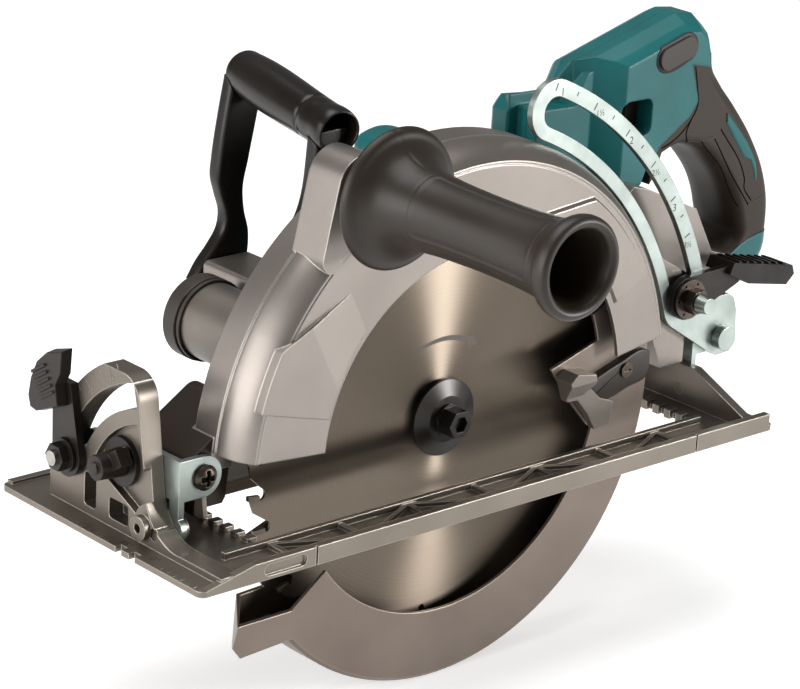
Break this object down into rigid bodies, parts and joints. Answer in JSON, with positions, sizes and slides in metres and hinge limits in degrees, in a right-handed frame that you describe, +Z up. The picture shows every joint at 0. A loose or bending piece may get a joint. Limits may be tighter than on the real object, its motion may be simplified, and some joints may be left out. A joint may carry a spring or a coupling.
{
  "type": "cordless circular saw",
  "caption": "Cordless circular saw with rear grip, tilting base, swinging lower guard, depth arm, side handle, carry handle and removable battery.",
  "frame": {"origin": "on the sole of the base, under the blade's axis and in the blade's plane", "axes": "+X to the rear along the cut, +Y to the motor side, +Z up from the sole"},
  "size_m": [0.4963, 0.336, 0.33],
  "materials": {
    "blade_steel": "satin",
    "carbide": "satin",
    "zinc_steel": "satin",
    "black_steel": "satin",
    "bright_steel": "satin",
    "gear_steel": "satin",
    "base_magnesium": "satin",
    "guard_magnesium": "satin",
    "dark_casting": "satin",
    "teal_plastic": "satin",
    "black_plastic": "matt",
    "dark_plastic": "matt",
    "black_rubber": "matt",
    "copper_winding": "satin"
  },
  "bodies": {
    "base": {"base_plate": "base_magnesium", "bevel_pins": "bright_steel", "stop_plate": "black_steel", "stop_screws": "zinc_steel"},
    "bevel_frame": {"front_tilt_bracket": "zinc_steel", "rear_tilt_bracket": "zinc_steel", "bevel_clamp_bolt": "bright_steel", "bevel_clamp_nut": "black_steel", "arm_rivet": "zinc_steel"},
    "bevel_lever_set": {"bevel_lever": "black_steel", "bevel_lever_pad": "black_plastic"},
    "bevel_stop_knob": {"stop_knob": "black_plastic"},
    "depth_guide": {"depth_arm": "zinc_steel"},
    "depth_clamp_lever": {"depth_lever": "black_steel"},
    "saw_body": {"upper_guard": "guard_magnesium", "gear_housing": "dark_casting", "dust_nozzle": "dark_plastic", "dust_cap": "black_rubber", "pivot_screws": "black_steel", "depth_clamp_bolt": "zinc_steel", "depth_clamp_nut": "zinc_steel", "side_handle_grip": "black_plastic", "side_handle_stud": "zinc_steel", "carry_handle": "black_plastic", "carry_handle_screw": "black_steel", "motor_housing": "teal_plastic", "motor_end_cover": "black_plastic", "stator": "copper_winding", "spindle_bearings": "bright_steel", "rotor_bearings": "bright_steel", "guard_ring": "black_steel", "guard_spring": "bright_steel", "housing_left": "teal_plastic", "housing_right": "teal_plastic", "grip_rubber": "black_rubber", "grip_inlay": "teal_plastic", "grip_end_cap": "teal_plastic", "switch_module": "black_plastic", "controller_module": "black_plastic", "battery_terminal": "dark_plastic"},
    "blade_set": {"saw_blade": "blade_steel", "blade_tips": "carbide", "spindle": "gear_steel", "spindle_gear": "gear_steel", "inner_flange": "bright_steel", "outer_flange": "black_steel", "blade_bolt": "black_steel"},
    "rotor": {"rotor_shaft": "gear_steel", "rotor_core": "gear_steel", "cooling_fan": "black_plastic"},
    "swinging_guard": {"lower_guard": "base_magnesium", "guard_lever": "base_magnesium", "guard_lever_bar": "dark_casting", "guard_lever_screw": "zinc_steel"},
    "trigger_key": {"trigger": "black_plastic"},
    "lock_off_key": {"lock_off_button": "dark_plastic"},
    "shaft_lock_key": {"shaft_lock": "black_plastic"},
    "battery": {"battery_pack": "black_plastic"},
    "battery_latch_key": {"battery_latch": "dark_plastic"}
  },
  "joints": [
    {"name": "bevel_tilt", "type": "hinge", "parent": "base", "child": "bevel_frame", "pos_m": [0, 0, 0.011], "axis": [1, 0, 0], "range_deg": [0, 53]},
    {"name": "bevel_lever_turn", "type": "hinge", "parent": "bevel_frame", "child": "bevel_lever_set", "pos_m": [-0.19, 0.06771, 0.03235], "axis": [-1, 0, 0], "range_deg": [0, 60]},
    {"name": "stop_knob_turn", "type": "hinge", "parent": "base", "child": "bevel_stop_knob", "pos_m": [-0.19, 0.0305, 0.0395], "axis": [1, 0, 0], "range_deg": [-90, 90]},
    {"name": "depth_swing", "type": "hinge", "parent": "bevel_frame", "child": "saw_body", "pos_m": [-0.16, 0.03, 0.037], "axis": [0, -1, 0], "range_deg": [0, 26]},
    {"name": "depth_arm_swing", "type": "hinge", "parent": "bevel_frame", "child": "depth_guide", "pos_m": [0.211, 0, 0.04], "axis": [0, -1, 0], "range_deg": [-17.16, 0]},
    {"name": "depth_lever_turn", "type": "hinge", "parent": "saw_body", "child": "depth_clamp_lever", "pos_m": [0.17647, 0, 0.07049], "axis": [0, -1, 0], "range_deg": [0, 40]},
    {"name": "blade_spin", "type": "hinge", "parent": "saw_body", "child": "blade_set", "pos_m": [0, 0, 0.035], "axis": [0, 1, 0], "continuous": true},
    {"name": "rotor_spin", "type": "hinge", "parent": "saw_body", "child": "rotor", "pos_m": [0.01549, 0, 0.06414], "axis": [0, 1, 0], "continuous": true},
    {"name": "lower_guard_swing", "type": "hinge", "parent": "saw_body", "child": "swinging_guard", "pos_m": [0, 0, 0.035], "axis": [0, -1, 0], "range_deg": [0, 130], "stiffness_Nm_per_rad": 0.35, "springref_deg": -68.75},
    {"name": "trigger_pull", "type": "slide", "parent": "saw_body", "child": "trigger_key", "axis": [1, 0, 0], "range_m": [0, 0.005], "stiffness_N_per_m": 1200, "springref_m": -0.003},
    {"name": "lock_off_press", "type": "slide", "parent": "saw_body", "child": "lock_off_key", "axis": [0, 1, 0], "range_m": [0, 0.003], "stiffness_N_per_m": 900, "springref_m": -0.002},
    {"name": "shaft_lock_press", "type": "slide", "parent": "saw_body", "child": "shaft_lock_key", "axis": [0, -1, 0], "range_m": [0, 0.0025], "stiffness_N_per_m": 1500, "springref_m": -0.002},
    {"name": "battery_slide", "type": "slide", "parent": "saw_body", "child": "battery", "axis": [0, 1, 0], "range_m": [0, 0.08]},
    {"name": "battery_latch_press", "type": "slide", "parent": "battery", "child": "battery_latch_key", "axis": [0, 0, -1], "range_m": [0, 0.003], "stiffness_N_per_m": 900, "springref_m": -0.002}
  ],
  "couplings": [
    {"joint": "rotor_spin", "follows": "blade_spin", "ratio": -4.5},
    {"joint": "depth_arm_swing", "follows": "depth_swing", "ratio": -0.66}
  ]
}
